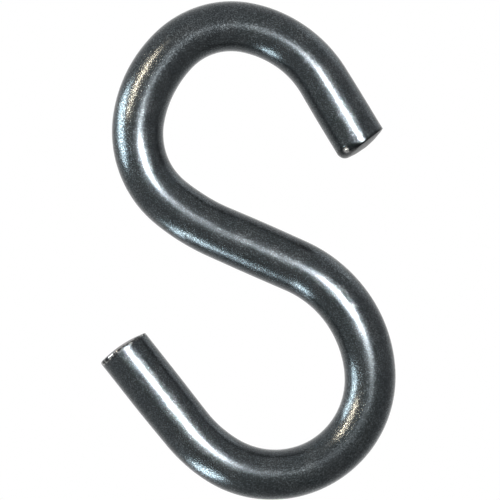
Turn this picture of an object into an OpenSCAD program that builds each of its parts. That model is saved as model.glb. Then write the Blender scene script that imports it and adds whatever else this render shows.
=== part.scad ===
// S hook bent from one length of round steel wire, with both ends cropped by a shear.
//
// The hook is drawn as it hangs: +Z is up, the wire bends in the XZ plane and +Y runs through the two eyes.
// The origin is the seat of the upper hook, the highest point inside its bend, where a rail or a ring bears.
// Seen from the front, along +Y, the upper hook opens to the right and the lower one to the left.

/* [Wire] */
// Diameter of the round wire
wire_d = 7.94; // [5:0.01:10]

/* [Upper hook] */
// Straight at the upper end, measured to the top of its domed face
upper_end_len = 11.9; // [10:0.1:14]
// Centre-line radius of the bend next to that straight
upper_front_r = 17.4; // [15:0.1:20]
// Angle of that bend
upper_front_a = 48; // [40:0.5:54]
// Centre-line radius at the crown, where the hook bears on its rail
upper_crown_r = 12.4; // [10.5:0.1:15]
// Angle of the crown
upper_crown_a = 55.5; // [46:0.5:62]
// Centre-line radius down the back of the upper hook
upper_back_r = 18.8; // [15:0.1:22]
// Angle of the back
upper_back_a = 36; // [29:0.5:43]
// Centre-line radius of the tighter bend below the back
upper_heel_r = 13.7; // [11.5:0.1:16]
// Angle of that bend
upper_heel_a = 60; // [53:0.5:67]
// Centre-line radius where the bend runs out into the shank
upper_shoulder_r = 31.5; // [24:0.5:42]
// Angle of that run-out
upper_shoulder_a = 15.5; // [10:0.5:21]

/* [Shank] */
// Straight between the two hooks
shank_len = 12.7; // [8:0.1:18]

/* [Lower hook] */
// Centre-line radius down the back of the lower hook
lower_heel_r = 18.9; // [15.5:0.1:22]
// Angle of the back
lower_heel_a = 61.5; // [54:0.5:69]
// Centre-line radius at the bottom, where the load hangs
lower_crown_r = 14.6; // [12.5:0.1:17]
// Angle of the bottom bend
lower_crown_a = 126; // [118:0.5:133]
// Centre-line radius of the last bend, next to the lower end
lower_front_r = 21; // [17:0.1:25]
// Angle of that bend
lower_front_a = 20.5; // [15:0.5:27]
// Straight at the lower end, measured to the top of its domed face
lower_end_len = 16; // [13:0.1:19]

/* [Cropped ends] */
// Radius of the dome that the shear leaves on the upper end
upper_dome_r = 12.2; // [9:0.1:20]
// How far that dome's top lies behind the middle of the wire
upper_dome_back = 0.9; // [0:0.1:1.2]
// Radius of the dome on the lower end
lower_dome_r = 16.3; // [11:0.1:24]
// How far that dome's top lies behind the middle of the wire
lower_dome_back = 0.1; // [0:0.1:1.2]
// How far each dome's top is pushed towards the side where the blade came in
dome_shift = 1.2; // [0:0.1:1.5]
// How far the blade rolled each end's edge over on that side
roll_len = 1.3; // [0.6:0.1:1.6]

/* [Hidden] */
$fn = 96;

wire_r = wire_d / 2;
// The rolled edge is a little rounder than its depth, so it meets the face and the side in a soft corner
roll_r = 1.2 * roll_len;
// Length of wire that each shaped end takes
end_block = wire_d;
// Room that the cutting bodies leave round the wire
spare = 1;
// The runs join into one solid because every second one is this hair larger in radius than its neighbours,
// which reach a little way into it
hair = 0.01;
reach = 0.05;

// The bend schedule, from the upper end to the lower one. Each run has a name, a length, a radius and an angle:
// a straight has the length and a bend the other two. A positive angle turns left, seen from the front.
schedule = [
    ["upper end", upper_end_len, 0, 0],
    ["upper front", 0, upper_front_r, upper_front_a],
    ["upper crown", 0, upper_crown_r, upper_crown_a],
    ["upper back", 0, upper_back_r, upper_back_a],
    ["upper heel", 0, upper_heel_r, upper_heel_a],
    ["upper shoulder", 0, upper_shoulder_r, upper_shoulder_a],
    ["shank", shank_len, 0, 0],
    ["lower heel", 0, lower_heel_r, -lower_heel_a],
    ["lower crown", 0, lower_crown_r, -lower_crown_a],
    ["lower front", 0, lower_front_r, -lower_front_a],
    ["lower end", lower_end_len, 0, 0],
];
LAST = len(schedule) - 1;

function run_named(name) = search([name], schedule)[0];
function length_of(i) = schedule[i][1];
function radius_of(i) = schedule[i][2];
function angle_of(i) = schedule[i][3];

// Radius of run i with the sign of its turn, or 0 on a straight
function bow_of(i) = radius_of(i) * sign(angle_of(i));

function along(a) = [cos(a), sin(a)];
function left_of(a) = [-sin(a), cos(a)];
function turned(p, a) = p[0] * along(a) + p[1] * left_of(a);

// Direction in which run i of the schedule starts
function heading(i) = i == 0 ? 0 : heading(i - 1) + angle_of(i - 1);

// Centre of the bend that run i makes, from the point where the run starts
function centre_from_start(i) = bow_of(i) * left_of(heading(i));

// Step from the start of run i to its end
function step(i) =
    length_of(i) * along(heading(i)) + centre_from_start(i) - turned(centre_from_start(i), angle_of(i));

// Point where run i starts
function start_of(i) = i == 0 ? [0, 0] : start_of(i - 1) + step(i - 1);

// The load hangs straight below the rail, so the centres of the two crowns lie on one plumb line
function centre_of(i) = start_of(i) + centre_from_start(i);
upper_centre = centre_of(run_named("upper crown"));
lower_centre = centre_of(run_named("lower crown"));
drop = lower_centre - upper_centre;
plumb_turn = -90 - atan2(drop[1], drop[0]);

// The seat is the top of the inside of the upper crown
seat = turned(upper_centre, plumb_turn) + [0, upper_crown_r - wire_r];

// A straight of round wire along +X, from x = 0
module straight(length) {
    rotate([0, 90, 0])
        cylinder(r = wire_r, h = length);
}

// A bend of round wire that starts along +X and turns towards +Z, or towards -Z where the angle is negative.
// It is grown in radius by one hair, or drawn longer at both ends to reach into its neighbours.
module bend(radius, angle, grown) {
    extra = grown ? 0 : reach / radius * 180 / PI;
    mirror([0, 0, angle < 0 ? 1 : 0])
        translate([0, 0, radius])
            rotate([90, 0, 0])
                rotate_extrude(angle = abs(angle) + 2 * extra, start = -90 - extra)
                    translate([radius, 0])
                        circle(r = wire_r + (grown ? hair : 0));
}

// What the blade takes off the edge of an end on its +Z side: a bar across the wire with a round hollow in it
module rolled_corner() {
    // The hollow runs through two points, each roll_len away from the corner where the face meets the side
    half_chord = roll_len * cos(45);
    inset = (half_chord + sqrt(roll_r * roll_r - half_chord * half_chord)) * cos(45);
    difference() {
        translate([-spare, -wire_r - spare, wire_r - inset])
            cube([spare + inset, wire_d + 2 * spare, inset + spare]);
        translate([inset, 0, wire_r - inset])
            rotate([90, 0, 0])
                cylinder(r = roll_r, h = wire_d + 4 * spare, center = true);
    }
}

// The end of the wire, cropped at x = 0: a low dome that leans back, with one edge rolled over
module cropped_end(dome_r, dome_back) {
    difference() {
        intersection() {
            straight(end_block);
            translate([dome_r, dome_back, dome_shift])
                sphere(r = dome_r);
        }
        rolled_corner();
    }
}

// A straight along +X whose end at x = 0 is cropped and whose other end reaches into the next bend
module cropped_straight(length, dome_r, dome_back) {
    cropped_end(dome_r, dome_back);
    translate([end_block, 0, 0])
        straight(length - end_block + reach);
}

// Moves what follows run i from the run's start to its end
module at_end_of(i) {
    translate([length_of(i), 0, bow_of(i)])
        rotate([0, -angle_of(i), 0])
            translate([0, 0, -bow_of(i)])
                children();
}

// Run i of the schedule, drawn from the origin along +X
module run(i) {
    if (i == 0)
        cropped_straight(upper_end_len, upper_dome_r, upper_dome_back);
    else if (i == LAST)
        translate([lower_end_len, 0, 0])
            mirror([1, 0, 0])
                cropped_straight(lower_end_len, lower_dome_r, lower_dome_back);
    else if (angle_of(i) == 0)
        translate([-reach, 0, 0])
            straight(length_of(i) + 2 * reach);
    else
        bend(radius_of(i), angle_of(i), i % 2 == 1);
}

// The wire from run i on: each run starts where the one before it ends
module wire_from(i) {
    run(i);
    if (i < LAST)
        at_end_of(i)
            wire_from(i + 1);
}

module s_hook() {
    color([0.22, 0.24, 0.25])
        translate([-seat[0], 0, -seat[1]])
            rotate([0, -plumb_turn, 0])
                wire_from(0);
}

s_hook();
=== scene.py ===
"""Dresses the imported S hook: its bent and cropped wire, the dark finish on it, and the stage it hangs on."""

import math
from collections import namedtuple

import bmesh
import bpy
from mathutils import Matrix, Vector, noise


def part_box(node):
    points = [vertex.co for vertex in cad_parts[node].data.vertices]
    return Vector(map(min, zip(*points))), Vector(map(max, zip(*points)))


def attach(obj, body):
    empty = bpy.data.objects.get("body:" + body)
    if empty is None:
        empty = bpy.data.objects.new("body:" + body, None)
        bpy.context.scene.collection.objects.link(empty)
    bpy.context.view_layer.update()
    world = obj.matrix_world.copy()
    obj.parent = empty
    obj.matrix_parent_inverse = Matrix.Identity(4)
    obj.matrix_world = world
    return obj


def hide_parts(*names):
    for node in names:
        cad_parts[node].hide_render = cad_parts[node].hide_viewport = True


bl_info = {
    "name": "S Hook",
    "version": (1, 0, 0),
    "blender": (4, 5, 0),
    "location": "3D View > Sidebar > S Hook",
    "description": "Bends, crops and finishes the wire of an S hook, and hangs it over a pale floor",
    "category": "Add Mesh",
}

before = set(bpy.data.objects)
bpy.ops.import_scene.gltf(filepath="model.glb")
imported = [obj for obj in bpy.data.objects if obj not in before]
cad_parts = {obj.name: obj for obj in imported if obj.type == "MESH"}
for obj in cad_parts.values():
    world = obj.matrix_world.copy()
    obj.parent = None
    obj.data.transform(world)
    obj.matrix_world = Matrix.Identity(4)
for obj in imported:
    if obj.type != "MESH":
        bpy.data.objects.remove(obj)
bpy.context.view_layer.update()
NODE = "s_hook"
BODY = "root"

# Attributes of the wire's points: where each lay while the wire was still straight, in metres, and which way the
# wire runs there now that it is bent
DRAWN = "drawn_wire"
HEADING = "wire_heading"

MM = 1000  # millimetres in a metre


# ---------------------------------------------------------------- settings


def length_of(name, description, default):
    return bpy.props.FloatProperty(
        name=name, description=description, default=default, min=0.0, precision=5, subtype="DISTANCE", unit="LENGTH"
    )


def angle_of(name, description, degrees):
    return bpy.props.FloatProperty(
        name=name, description=description, default=math.radians(degrees), subtype="ANGLE", unit="ROTATION"
    )


def share_of(name, description, default, high=1.0):
    return bpy.props.FloatProperty(
        name=name, description=description, default=default, min=0.0, max=high, subtype="FACTOR"
    )


def colour_of(name, description, default):
    return bpy.props.FloatVectorProperty(
        name=name, description=description, default=default, size=3, min=0.0, max=1.0, subtype="COLOR"
    )


class WireSettings(bpy.types.PropertyGroup):
    """The wire, its bend schedule from the upper end to the lower one, and its two cropped ends"""

    diameter: length_of("Wire diameter", "Diameter of the round wire", 0.00794)
    upper_end: length_of("Upper end", "Straight at the upper end", 0.0119)
    upper_front_r: length_of("Upper front radius", "Centre-line radius of the bend next to that straight", 0.0174)
    upper_front_a: angle_of("Upper front angle", "Angle of that bend", 48)
    upper_crown_r: length_of("Upper crown radius", "Centre-line radius where the hook bears on its rail", 0.0124)
    upper_crown_a: angle_of("Upper crown angle", "Angle of the upper crown", 55.5)
    upper_back_r: length_of("Upper back radius", "Centre-line radius down the back of the upper hook", 0.0188)
    upper_back_a: angle_of("Upper back angle", "Angle of the upper back", 36)
    upper_heel_r: length_of("Upper heel radius", "Centre-line radius of the tighter bend below the back", 0.0137)
    upper_heel_a: angle_of("Upper heel angle", "Angle of the upper heel", 60)
    upper_shoulder_r: length_of("Upper shoulder radius", "Centre-line radius of the run-out into the shank", 0.0315)
    upper_shoulder_a: angle_of("Upper shoulder angle", "Angle of the run-out", 15.5)
    shank: length_of("Shank", "Straight between the two hooks", 0.0127)
    lower_heel_r: length_of("Lower heel radius", "Centre-line radius down the back of the lower hook", 0.0189)
    lower_heel_a: angle_of("Lower heel angle", "Angle of the lower heel", 61.5)
    lower_crown_r: length_of("Lower crown radius", "Centre-line radius where the load hangs", 0.0146)
    lower_crown_a: angle_of("Lower crown angle", "Angle of the lower crown", 126)
    lower_front_r: length_of("Lower front radius", "Centre-line radius of the last bend", 0.021)
    lower_front_a: angle_of("Lower front angle", "Angle of the last bend", 20.5)
    lower_end: length_of("Lower end", "Straight at the lower end", 0.016)
    upper_dome: length_of("Upper dome radius", "Radius of the dome on the upper cropped end", 0.0122)
    upper_dome_back: length_of(
        "Upper dome offset", "How far the upper dome's top lies behind the wire's middle", 0.0002
    )
    lower_dome: length_of("Lower dome radius", "Radius of the dome on the lower cropped end", 0.0163)
    lower_dome_front: length_of(
        "Lower dome offset", "How far the lower dome's top lies in front of the wire's middle", 0.0009
    )
    dome_shift: length_of("Dome shift", "How far each dome's top is pushed towards the blade", 0.0012)
    upper_roll: length_of("Upper rolled edge", "How far the blade rolled the upper end's edge over", 0.0011)
    lower_roll: length_of("Lower rolled edge", "How far the blade rolled the lower end's edge over", 0.0003)
    rim: length_of("Rim radius", "Rounding of the rim round each cropped face", 0.00022)


class FinishSettings(bpy.types.PropertyGroup):
    """The dark finish on the wire"""

    dark: colour_of("Dark finish", "Reflectance of the finish where it is thickest", (0.060, 0.069, 0.074))
    light: colour_of("Thin finish", "Reflectance of the finish where steel shows through", (0.080, 0.089, 0.093))
    cropped: colour_of("Cropped face", "Reflectance of the sheared faces", (0.040, 0.045, 0.047))
    # Besides the real chips and torn steel, this colour paints the highlight on top of the bead
    worn: colour_of("Worn steel", "Reflectance of the bright steel on worn rims", (0.42, 0.42, 0.41))
    gloss_roughness: share_of("Roughness", "Roughness of the finish along the wire", 0.174)
    grain: length_of("Grain depth", "Depth of the finish's fine grain", 0.0000004)
    draw_spread: share_of("Draw spread", "Slope of the draw lines' flanks, which spreads gloss across the wire", 0.084)
    draw_lines: length_of("Draw line depth", "Depth of the short fine lines that drawing left along the wire", 0.000003)
    waviness: length_of("Waviness", "Depth of the slow waves that bending left in the surface", 0.000004)


class StageSettings(bpy.types.PropertyGroup):
    """The floor, the lamps, the surroundings and the camera"""

    floor_gap: length_of("Floor gap", "Height of the hanging hook above the floor", 0.03)
    floor_colour: colour_of("Floor", "Colour of the floor", (0.80, 0.80, 0.80))
    camera_distance: length_of("Camera distance", "Distance of the camera from the hook", 1.2)
    view_height: length_of("View height", "Height of the field that the camera covers", 0.07576)
    hook_tilt: angle_of("Tilt", "How far the hanging hook is seen leaning to the left", 8.79)
    room_level: share_of("Room level", "Brightness of the plain surroundings", 0.557)


# ---------------------------------------------------------------- the bent wire

# One run of the wire: a straight has a length, a bend has a radius and an angle, positive to the left seen from
# the front. Width is what bending left of the wire's width in the plane of the bend, as a share of its diameter,
# and side is how far the bender left the wire to the left of its route, in metres.
Run = namedtuple("Run", "name length radius angle width side")


def bend_schedule(w):
    """The wire's runs in order, from the upper end to the lower one"""
    return [
        Run("upper end", w.upper_end, 0, 0, 1.000, 0.00002),
        Run("upper front", 0, w.upper_front_r, w.upper_front_a, 0.965, -0.00001),
        Run("upper crown", 0, w.upper_crown_r, w.upper_crown_a, 0.957, -0.00008),
        Run("upper back", 0, w.upper_back_r, w.upper_back_a, 1.000, -0.00006),
        Run("upper heel", 0, w.upper_heel_r, w.upper_heel_a, 0.975, -0.00003),
        Run("upper shoulder", 0, w.upper_shoulder_r, w.upper_shoulder_a, 1.008, 0.00003),
        Run("shank", w.shank, 0, 0, 1.027, 0.00006),
        Run("lower heel", 0, w.lower_heel_r, -w.lower_heel_a, 1.002, 0.00005),
        Run("lower crown", 0, w.lower_crown_r, -w.lower_crown_a, 0.937, 0.00004),
        Run("lower front", 0, w.lower_front_r, -w.lower_front_a, 1.000, 0.00005),
        Run("lower end", w.lower_end, 0, 0, 1.028, 0.00011),
    ]


def run_length(run):
    return run.length + run.radius * abs(run.angle)


def bow(run):
    """From a run's start to the centre of its bend"""
    return Vector((0, 0, math.copysign(run.radius, run.angle)))


def along_run(run, share):
    """Moves what follows a run from the run's start to this share of its length"""
    centre = Matrix.Translation(bow(run))
    turn = Matrix.Rotation(-run.angle * share, 4, "Y")
    return Matrix.Translation((run.length * share, 0, 0)) @ centre @ turn @ Matrix.Translation(-bow(run))


class Route:
    """The wire's centre line as it hangs: both crowns' centres lie plumb under the upper seat, the origin"""

    def __init__(self, runs, wire_radius):
        self.runs = runs
        self.starts = [Matrix.Identity(4)]
        self.distances = [0.0]
        for run in runs:
            self.starts.append(self.starts[-1] @ along_run(run, 1))
            self.distances.append(self.distances[-1] + run_length(run))
        self.length = self.distances[-1]

        centres = {run.name: start @ bow(run) for run, start in zip(runs, self.starts)}
        radii = {run.name: run.radius for run in runs}
        upper = centres["upper crown"]
        drop = centres["lower crown"] - upper
        plumb = Matrix.Rotation(math.atan2(drop.z, drop.x) + math.pi / 2, 4, "Y")
        seat = plumb @ upper + Vector((0, 0, radii["upper crown"] - wire_radius))
        self.hang = Matrix.Translation(-seat) @ plumb

    def run_at(self, distance):
        """The number of the run that lies this far along the wire"""
        i = 0
        while i < len(self.runs) - 1 and distance > self.distances[i + 1]:
            i += 1
        return i

    def squeezed(self, distance, z):
        """Where z comes to lie in the plane of the bends, which changes smoothly from run to run's middle"""
        middles = [(a + b) / 2 for a, b in zip(self.distances, self.distances[1:])]
        sides = [run.side + z * run.width for run in self.runs]
        if distance <= middles[0]:
            return sides[0]
        for i in range(len(middles) - 1):
            if distance <= middles[i + 1]:
                ease = eased(distance, middles[i], middles[i + 1])
                return sides[i] * (1 - ease) + sides[i + 1] * ease
        return sides[-1]

    def section_at(self, distance):
        """Moves a section of the straight wire, at the origin and facing +X, to its place on the bent one"""
        i = self.run_at(distance)
        run = self.runs[i]
        share = (distance - self.distances[i]) / run_length(run)
        return self.hang @ self.starts[i] @ along_run(run, share)

    def place(self, point):
        """Where a point of the straight wire, which lies along +X, comes to lie on the bent one"""
        return self.section_at(point.x) @ Vector((0, point.y, self.squeezed(point.x, point.z)))


# The wire's mesh: how many points go round it, the step between its rings, and how many rings the stretch next to
# each tip has, along which the crop's shape fades out
SIDES = 96
RING_STEP = 0.0006
END_STRETCH = 0.005
END_RINGS = 14


def ring_edges(ring):
    """The edges that lie in this ring of points"""
    members = set(ring)
    # A dict keeps the edges in the same order each time, which a set of them does not
    touching = dict.fromkeys(edge for v in ring for edge in v.link_edges)
    return [edge for edge in touching if set(edge.verts) <= members]


def next_ring(bm, ring, step):
    """Draws the wire out by one more ring of points"""
    made = bmesh.ops.extrude_edge_only(bm, edges=ring_edges(ring))["geom"]
    verts = [item for item in made if isinstance(item, bmesh.types.BMVert)]
    bmesh.ops.translate(bm, verts=verts, vec=(step, 0, 0))
    return verts


# Radii of the rings on a cropped face, as shares of the wire's radius, closer together towards the rim
FACE_RINGS = (0.985, 0.965, 0.94, 0.91, 0.875, 0.835, 0.79, 0.74, 0.68, 0.6, 0.5, 0.4, 0.3, 0.2, 0.1)


def straight_wire(bm, length, radius):
    """A round straight wire along +X, with its rings closer together at both ends. Returns its two end rings"""
    turn = Matrix.Rotation(math.radians(90), 4, "Y")
    ring = bmesh.ops.create_circle(bm, segments=SIDES, radius=radius, matrix=turn)["verts"]
    first = ring
    middle_steps = math.ceil((length - 2 * END_STRETCH) / RING_STEP)
    steps = [END_STRETCH / END_RINGS] * END_RINGS
    steps += [(length - 2 * END_STRETCH) / middle_steps] * middle_steps
    steps += [END_STRETCH / END_RINGS] * END_RINGS
    for step in steps:
        ring = next_ring(bm, ring, step)
    return first, ring


def close_end(bm, ring):
    """Closes the wire with a flat face of rings inside each other, and returns the edges of its rim"""
    rim = ring_edges(ring)
    reached = 1.0
    for share in FACE_RINGS:
        ring = next_ring(bm, ring, 0)
        bmesh.ops.scale(bm, verts=ring, vec=(1, share / reached, share / reached))
        reached = share
    bmesh.ops.contextual_create(bm, geom=ring_edges(ring))
    bmesh.ops.poke(bm, faces=[f for f in ring[0].link_faces if len(f.verts) == SIDES])
    return rim


def eased(value, low, high):
    """0 up to low and 1 from high, with a smooth change between them"""
    share = min(max((value - low) / (high - low), 0.0), 1.0)
    return share * share * (3 - 2 * share)


# What the cropping blade left of one end: the radius of its dome, how far the dome's top lies behind the wire's
# middle and how far towards the blade, and how far the rim is rolled over on the blade's side
Crop = namedtuple("Crop", "dome back shift roll")

# Where the rolled edge begins and where it is full, from -1 opposite the blade to 1 under it
ROLL_BEGINS, ROLL_FULL = -0.25, 0.85

# Height of the burr that the blade left on the face, and the scale of its noise per metre
BURR = 0.00003
BURR_WAVES = 900


def crop_depth(crop, radius, y, z):
    """How deep the cropped face lies behind the dome's top at this place on the wire's section"""
    depth = crop.dome - math.sqrt(crop.dome**2 - (y - crop.back) ** 2 - (z - crop.shift) ** 2)
    from_axis = math.hypot(y, z)
    if from_axis > 0:
        roll = crop.roll * eased(z / from_axis, ROLL_BEGINS, ROLL_FULL)
        over = from_axis - (radius - roll)
        if over > 0 and roll > 0:
            depth += roll - math.sqrt(max(roll**2 - over**2, 0))
    return depth + BURR * noise.noise(Vector((y, z, crop.dome)) * BURR_WAVES)


def crop_end(bm, tip, inward, crop, radius):
    """Presses the crop's shape into one end, and lets it fade out along the wire"""
    for v in bm.verts:
        back = (v.co.x - tip) * inward
        if back < END_STRETCH:
            v.co.x += inward * crop_depth(crop, radius, v.co.y, v.co.z) * (1 - back / END_STRETCH)


def sort_faces(bm):
    """Puts the faces in the order of their points, because extruding leaves them in another order each time"""
    bm.verts.index_update()
    count = len(bm.verts)

    def turn_of(face):
        first, second, third = sorted(v.index for v in face.verts)[:3]
        return (first * count + second) * count + third

    bm.faces.sort(key=turn_of)


def make_wire_mesh(w):
    """Draws the wire straight, rounds its rims, crops its ends and bends it. Returns its mesh and its route"""
    radius = w.diameter / 2
    route = Route(bend_schedule(w), radius)
    bm = bmesh.new()
    rims = [edge for ring in straight_wire(bm, route.length, radius) for edge in close_end(bm, ring)]
    bmesh.ops.bevel(
        bm, geom=rims, offset=w.rim, segments=4, profile=0.5, affect="EDGES", material=-1, clamp_overlap=True
    )
    bmesh.ops.remove_doubles(bm, verts=bm.verts, dist=1e-7)
    drawn = bm.verts.layers.float_vector.new(DRAWN)
    heading = bm.verts.layers.float_vector.new(HEADING)
    for v in bm.verts:
        v[drawn] = v.co
    crop_end(bm, 0.0, 1, Crop(w.upper_dome, w.upper_dome_back, w.dome_shift, w.upper_roll), radius)
    crop_end(bm, route.length, -1, Crop(w.lower_dome, -w.lower_dome_front, w.dome_shift, w.lower_roll), radius)
    for v in bm.verts:
        v[heading] = route.section_at(v.co.x).to_3x3() @ Vector((1, 0, 0))
        v.co = route.place(v.co)
    bm.normal_update()
    bmesh.ops.recalc_face_normals(bm, faces=bm.faces)
    sort_faces(bm)
    for face in bm.faces:
        face.smooth = True
    mesh = bpy.data.meshes.new("bent_wire")
    bm.to_mesh(mesh)
    bm.free()
    return mesh, route


# ---------------------------------------------------------------- materials


class Value:
    """An output socket. Python arithmetic on it adds Math nodes"""

    def __init__(self, graph, socket):
        self.graph = graph
        self.socket = socket

    def math(self, operation, *sides):
        sockets = dict(enumerate(sides))
        return self.graph.node("ShaderNodeMath", {"operation": operation}, sockets)["Value"]

    def __add__(self, other):
        return self.math("ADD", self, other)

    def __radd__(self, other):
        return self.math("ADD", other, self)

    def __sub__(self, other):
        return self.math("SUBTRACT", self, other)

    def __rsub__(self, other):
        return self.math("SUBTRACT", other, self)

    def __mul__(self, other):
        return self.math("MULTIPLY", self, other)

    def __rmul__(self, other):
        return self.math("MULTIPLY", other, self)

    def __truediv__(self, other):
        return self.math("DIVIDE", self, other)

    def __rtruediv__(self, other):
        return self.math("DIVIDE", other, self)

    def root(self):
        return self.math("SQRT", self)

    def smaller(self, other):
        return self.math("MINIMUM", self, other)

    def larger(self, other):
        return self.math("MAXIMUM", self, other)

    def ramp(self, low, high):
        """0 below low and 1 above high, with a smooth change between them"""
        settings = {"interpolation_type": "SMOOTHSTEP"}
        sockets = {"Value": self, "From Min": low, "From Max": high}
        return self.graph.node("ShaderNodeMapRange", settings, sockets)["Result"]


class Graph:
    """A node tree that is filled by one method"""

    def __init__(self, tree):
        self.tree = tree
        tree.nodes.clear()

    @staticmethod
    def find(sockets, key):
        """The socket of this number, or the one in use that has this name"""
        if isinstance(key, int):
            return sockets[key]
        return next(s for s in sockets if s.name == key and s.enabled)

    def node(self, kind, settings=None, sockets=None):
        """Adds a node, sets it up, fills or links its sockets and returns its outputs by name"""
        node = self.tree.nodes.new(kind)
        for name, value in (settings or {}).items():
            setattr(node, name, value)
        for key, value in (sockets or {}).items():
            socket = self.find(node.inputs, key)
            if isinstance(value, Value):
                self.tree.links.new(value.socket, socket)
            else:
                socket.default_value = value
        return Outputs(self, node)

    def attribute(self, name):
        """What the piece's points carry under this name"""
        return self.node("ShaderNodeAttribute", {"attribute_name": name, "attribute_type": "GEOMETRY"})["Vector"]

    def vector_math(self, operation, *sides, result="Vector"):
        return self.node("ShaderNodeVectorMath", {"operation": operation}, dict(enumerate(sides)))[result]

    def scaled(self, vector, share):
        """A vector made longer or shorter, or a colour made lighter or darker"""
        sockets = {"Vector": vector, "Scale": share}
        return self.node("ShaderNodeVectorMath", {"operation": "SCALE"}, sockets)["Vector"]

    def mix(self, share, a, b):
        """Colour a where the share is 0, and colour b where it is 1"""
        sockets = {"Factor": share, "A": a, "B": b}
        return self.node("ShaderNodeMix", {"data_type": "RGBA"}, sockets)["Result"]

    def noise(self, vector, scale, detail=2.0, roughness=0.5):
        sockets = {"Vector": vector, "Scale": scale, "Detail": detail, "Roughness": roughness}
        return self.node("ShaderNodeTexNoise", {"noise_dimensions": "3D"}, sockets)["Fac"]


class Outputs:
    """The outputs of a node that was just made, by name"""

    def __init__(self, graph, node):
        self.graph = graph
        self.made = node

    def __getitem__(self, name):
        return Value(self.graph, Graph.find(self.made.outputs, name))


def rgba(colour):
    return (*colour, 1.0)


# How fine each pattern of the finish is, as the scale of its noise per millimetre
BLOTCH_WAVES = 0.35
STREAK_WAVES = 9.0
GRAIN_WAVES = 5.5
SLOW_WAVES = 0.30
TEAR_WAVES = 2.2
CHIP_WAVES = 1.6

# Drawing made the streaks ten times as long as they are wide
DRAWN_OUT = (0.10, 1.0, 1.0)

# Shares of the wire's radius between which the sheared face darkens towards its edge, and gives way to the skin
FACE_EDGE = (0.80, 0.93)
FACE_ENDS = (0.93, 0.97)

# Distances from the tip, in millimetres, between which the rim gives way to the skin of the wire
RIM_ENDS = (0.20, 0.60)

# Relief of the torn steel on the sheared face
TEAR_DEPTH = 0.00005

# Sine of a draw line's steepest flank, before the draw spread flattens it
STEEPEST = 0.98

# A bead of metal that the blade pushed up at the upper end's rolled edge: its place on the straight wire, how far it
# reaches and how high it stands
BEAD_AT = (0.00117, -0.00301, 0.00256)
BEAD_REACH = 0.0008
BEAD_HEIGHT = 0.0005


def lean_to_flanks(g, spread):
    """Leans the surface to one flank or another of draw lines that are too fine to be told apart"""
    normal = g.node("ShaderNodeNewGeometry")["Normal"]
    across = g.vector_math("CROSS_PRODUCT", normal, g.attribute(HEADING))
    chance = g.node("ShaderNodeTexWhiteNoise", {"noise_dimensions": "3D"}, {"Vector": g.attribute(DRAWN)})["Value"]
    # Most flanks are shallow and a few are steep
    flank = chance * (2 * STEEPEST) - STEEPEST
    slope = spread * flank / (1.0 - flank * flank).root()
    return g.vector_math("NORMALIZE", g.vector_math("ADD", normal, g.scaled(across, slope)))


def dark_finish(f, wire, route):
    """Glossy dark finish over drawn steel: fine grain, draw lines along the wire, sheared faces and worn rims"""
    material = bpy.data.materials.new("dark_finish")
    material.use_nodes = True
    g = Graph(material.node_tree)
    radius_mm = wire.diameter / 2 * MM
    length_mm = route.length * MM

    # Places on the straight wire, in millimetres: along it, off its axis, and from the nearer tip
    mm = g.scaled(g.attribute(DRAWN), MM)
    part = g.node("ShaderNodeSeparateXYZ", {}, {"Vector": mm})
    from_axis = (part["Y"] * part["Y"] + part["Z"] * part["Z"]).root()
    from_tip = part["X"].smaller(length_mm - part["X"])
    face = 1.0 - from_axis.ramp(*(radius_mm * share for share in FACE_ENDS))
    face_edge = from_axis.ramp(*(radius_mm * share for share in FACE_EDGE))
    rim = 1.0 - from_tip.ramp(*RIM_ENDS)

    blotches = g.noise(mm, BLOTCH_WAVES, detail=3.0, roughness=0.6)
    streaks = g.noise(g.vector_math("MULTIPLY", mm, DRAWN_OUT), STREAK_WAVES, detail=1.5)
    grain = g.noise(mm, GRAIN_WAVES, roughness=0.65).ramp(0.42, 0.76)
    waves = g.noise(mm, SLOW_WAVES, detail=1.0)
    tears = g.noise(mm, TEAR_WAVES, detail=3.0, roughness=0.7)

    thin = (blotches * 0.6 + streaks * 0.4).ramp(0.42, 0.68)
    skin = g.scaled(g.mix(thin, rgba(f.dark), rgba(f.light)), 0.72 + 1.95 * grain)
    sheared = g.mix(0.12 + 0.28 * tears.ramp(0.35, 0.75), rgba(f.cropped), rgba(f.worn))
    # The skin is darker towards each tip, so that its gloss ends short of the rim
    colour = g.mix(face, g.scaled(skin, 1.0 - 0.65 * rim), g.scaled(sheared, 1.0 - 0.3 * face_edge))

    # Bright steel shows where the lower end's rim is chipped. On top of the bead a small disc of bright steel is a
    # painted highlight, set where the key lamp's glint falls
    at_lower_end = part["X"].ramp(length_mm * 0.5, length_mm * 0.6)
    chips = g.noise(mm, CHIP_WAVES).ramp(0.46, 0.62) * rim * (1.0 - face) * at_lower_end
    bent = g.node("ShaderNodeTexCoord")["Object"]
    off_bead = g.vector_math("DISTANCE", bent, route.place(Vector(BEAD_AT)), result="Value")
    bead = 1.0 - off_bead.ramp(0.0, BEAD_REACH)
    painted_glint = 1.0 - off_bead.ramp(BEAD_REACH * 0.50, BEAD_REACH * 0.70)
    colour = g.mix(chips.larger(painted_glint), colour, rgba(f.worn))

    roughness = f.gloss_roughness + 0.03 * (grain - 0.5) + 0.03 * (blotches - 0.5) + face * 0.22
    spread = f.draw_spread * ((1.0 - face) * (0.85 + 0.4 * grain))
    height = (
        bead * (BEAD_HEIGHT * MM)
        + grain * (f.grain * MM)
        + streaks * (f.draw_lines * MM)
        + waves * (f.waviness * MM)
        + face * tears * (TEAR_DEPTH * MM)
    )
    relief = {"Height": height, "Distance": 1 / MM, "Strength": 1.0, "Normal": lean_to_flanks(g, spread)}
    bump = g.node("ShaderNodeBump", {}, relief)["Normal"]
    gloss = {"Base Color": colour, "Metallic": 1.0, "Roughness": roughness, "Normal": bump}
    shader = g.node("ShaderNodeBsdfPrincipled", {}, gloss)["BSDF"]
    g.node("ShaderNodeOutputMaterial", {}, {"Surface": shader})
    return material


# ---------------------------------------------------------------- operators


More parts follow.
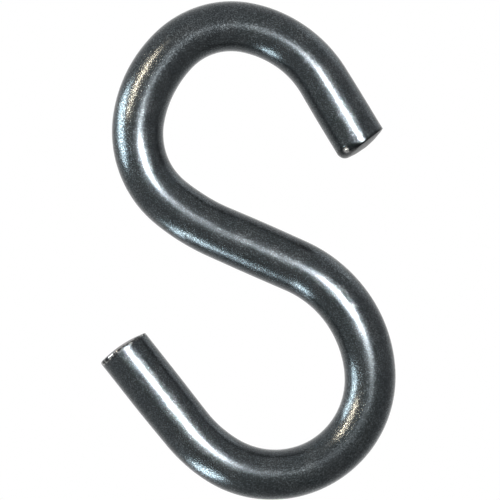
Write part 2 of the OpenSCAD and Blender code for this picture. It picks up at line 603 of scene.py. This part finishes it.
class SHOOK_OT_wire(bpy.types.Operator):
    """Bend and crop the hook's wire, and give it its dark finish"""

    bl_idname = "s_hook.wire"
    bl_label = "Bent Wire"
    bl_options = {"REGISTER", "UNDO"}

    def execute(self, context):
        wire = context.scene.s_hook_wire
        mesh, route = make_wire_mesh(wire)
        piece = bpy.data.objects.new("bent_wire", mesh)
        context.scene.collection.objects.link(piece)
        mesh.materials.append(dark_finish(context.scene.s_hook_finish, wire, route))
        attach(piece, BODY)
        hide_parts(NODE)
        return {"FINISHED"}


# One flat lamp that faces the middle of the hook. Its place is given from there, in degrees off the line to the
# camera, degrees round that line from the right, and metres. Then come how far it is turned round its own line of
# sight, its width and height, its brightness, its colour, and whether it shows in the gloss alone or lights dull
# surfaces alone
Lamp = namedtuple("Lamp", "name off round distance turn width height level colour gloss_only")

LAMPS = [
    Lamp("key", 10.4, 20.1, 1.07, 22.4, 0.0122, 0.0301, 5900.0, (1.0, 1.0, 1.0), True),
    Lamp("left_window", 83.5, 165.1, 0.28, 25.6, 0.115, 0.192, 14.0, (0.84, 0.95, 1.0), True),
    Lamp("low_window", 88.6, 230, 0.40, -15.7, 0.225, 0.0634, 16.1, (0.84, 0.95, 1.0), True),
    Lamp("warm_lamp", 50.7, 144.9, 1.66, -7.1, 0.070, 0.64, 100.0, (1.0, 0.80, 0.60), True),
    Lamp("right_card", 109.9, 38.1, 0.42, -31, 0.193, 0.191, 0.82, (0.93, 0.98, 1.0), True),
    Lamp("top_lamp", 92, 80, 0.60, 0, 0.09, 0.09, 18.0, (1.0, 1.0, 1.0), False),
]


def set_lamp(context, lamp, aim):
    """Hangs one lamp where its row says, facing the aim"""
    off, round_ = math.radians(lamp.off), math.radians(lamp.round)
    away = Vector((math.sin(off) * math.cos(round_), -math.cos(off), math.sin(off) * math.sin(round_)))
    outward = Vector((math.cos(off) * math.cos(round_), math.sin(off), math.cos(off) * math.sin(round_)))
    turn = Matrix.Rotation(math.radians(lamp.turn), 3, away)
    data = bpy.data.lights.new(lamp.name, "AREA")
    data.shape = "RECTANGLE"
    data.size = lamp.width
    data.size_y = lamp.height
    # A flat lamp of this power shines at the wanted level
    data.energy = lamp.level * math.pi * lamp.width * lamp.height
    data.color = lamp.colour
    light = bpy.data.objects.new(lamp.name, data)
    side = turn @ outward
    sides = Matrix((side, away.cross(side), away)).transposed()
    light.matrix_world = Matrix.Translation(aim + away * lamp.distance) @ sides.to_4x4()
    light.visible_camera = False
    light.visible_diffuse = not lamp.gloss_only
    light.visible_glossy = lamp.gloss_only
    context.scene.collection.objects.link(light)


# Brightness of the surroundings on plain, dull surfaces
PLAIN_LEVEL = 0.72

# How much brighter the room is overhead and to the right than in its middle, as shares
OVERHEAD, RIGHT = 0.32, -0.18


def set_world(context, room_level):
    """Plain surroundings: a white background, and round it a room that only shows in reflections"""
    world = bpy.data.worlds.new("studio")
    world.use_nodes = True
    g = Graph(world.node_tree)
    ray = g.node("ShaderNodeLightPath")
    seen = ray["Is Camera Ray"].larger(ray["Is Transmission Ray"])
    direction = g.node("ShaderNodeTexCoord")["Generated"]
    part = g.node("ShaderNodeSeparateXYZ", {}, {"Vector": direction})
    # In the steel the room is darker than the white background, which it shows where that lies, behind the hook
    behind = part["Y"].ramp(0.1, 1.0)
    mirrored = room_level * (1.0 + OVERHEAD * part["Z"] + RIGHT * part["X"])
    mirrored = mirrored + behind * (1.0 - mirrored)
    level = PLAIN_LEVEL + ray["Is Glossy Ray"] * (mirrored - PLAIN_LEVEL)
    level = level + seen * (1.0 - level)
    white = {"Color": (1.0, 1.0, 1.0, 1.0), "Strength": level}
    background = g.node("ShaderNodeBackground", {}, white)["Background"]
    g.node("ShaderNodeOutputWorld", {}, {"Surface": background})
    context.scene.world = world


# From the floor's middle to each of its sides
FLOOR_REACH = 0.6


def set_floor(context, stage, low, middle):
    """A plain pale floor under the hanging hook"""
    bm = bmesh.new()
    place = Matrix.Translation((middle.x, middle.y, low.z - stage.floor_gap))
    bmesh.ops.create_grid(bm, x_segments=1, y_segments=1, size=FLOOR_REACH, matrix=place)
    mesh = bpy.data.meshes.new("floor")
    bm.to_mesh(mesh)
    bm.free()
    floor = bpy.data.objects.new("floor", mesh)
    context.scene.collection.objects.link(floor)
    # The low lamp stands under the floor's level, so the floor neither blocks it nor shows in the steel
    floor.visible_glossy = False
    floor.visible_shadow = False
    material = bpy.data.materials.new("pale_floor")
    material.use_nodes = True
    g = Graph(material.node_tree)
    shader = g.node("ShaderNodeBsdfDiffuse", {}, {"Color": rgba(stage.floor_colour)})["BSDF"]
    g.node("ShaderNodeOutputMaterial", {}, {"Surface": shader})
    mesh.materials.append(material)


# What the camera looks at, beside the hook's middle
CAMERA_AIM = Vector((-0.00055, 0, -0.03004))


def set_camera(context, stage):
    """A camera straight in front of the hook, turned so that the hook is seen leaning"""
    data = bpy.data.cameras.new("camera")
    data.sensor_width = 36.0
    data.lens = data.sensor_width * stage.camera_distance / stage.view_height
    camera = bpy.data.objects.new("camera", data)
    lean = Matrix.Rotation(stage.hook_tilt, 4, "Y")
    back_off = Matrix.Translation((0, -stage.camera_distance, 0))
    level = Matrix.Rotation(math.radians(90), 4, "X")
    camera.matrix_world = Matrix.Translation(CAMERA_AIM) @ lean @ back_off @ level
    context.scene.collection.objects.link(camera)
    context.scene.camera = camera


class SHOOK_OT_stage(bpy.types.Operator):
    """Set the floor, the lamps, the surroundings and the camera round the hook"""

    bl_idname = "s_hook.stage"
    bl_label = "Stage"
    bl_options = {"REGISTER", "UNDO"}

    def execute(self, context):
        stage = context.scene.s_hook_stage
        low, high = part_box(NODE)
        middle = (low + high) / 2
        set_floor(context, stage, low, middle)
        for lamp in LAMPS:
            set_lamp(context, lamp, middle)
        set_world(context, stage.room_level)
        set_camera(context, stage)
        context.scene.view_settings.view_transform = "Standard"
        return {"FINISHED"}


class SHOOK_PT_panel(bpy.types.Panel):
    """Lists the hook's wire and its stage"""

    bl_idname = "SHOOK_PT_panel"
    bl_label = "S Hook"
    bl_space_type = "VIEW_3D"
    bl_region_type = "UI"
    bl_category = "S Hook"

    def draw(self, context):
        for operator in OPERATORS:
            self.layout.operator(operator.bl_idname)
        for name in SETTINGS:
            group = getattr(context.scene, name)
            box = self.layout.box()
            for key in group.__annotations__:
                box.prop(group, key)


SETTINGS = {
    "s_hook_wire": WireSettings,
    "s_hook_finish": FinishSettings,
    "s_hook_stage": StageSettings,
}
OPERATORS = (SHOOK_OT_wire, SHOOK_OT_stage)


def register():
    for cls in (*SETTINGS.values(), *OPERATORS, SHOOK_PT_panel):
        bpy.utils.register_class(cls)
    for name, group in SETTINGS.items():
        setattr(bpy.types.Scene, name, bpy.props.PointerProperty(type=group))


def unregister():
    for name in SETTINGS:
        delattr(bpy.types.Scene, name)
    for cls in reversed((*SETTINGS.values(), *OPERATORS, SHOOK_PT_panel)):
        bpy.utils.unregister_class(cls)


def main():
    register()
    bpy.ops.s_hook.wire()
    bpy.ops.s_hook.stage()


if __name__ == "__main__":
    main()
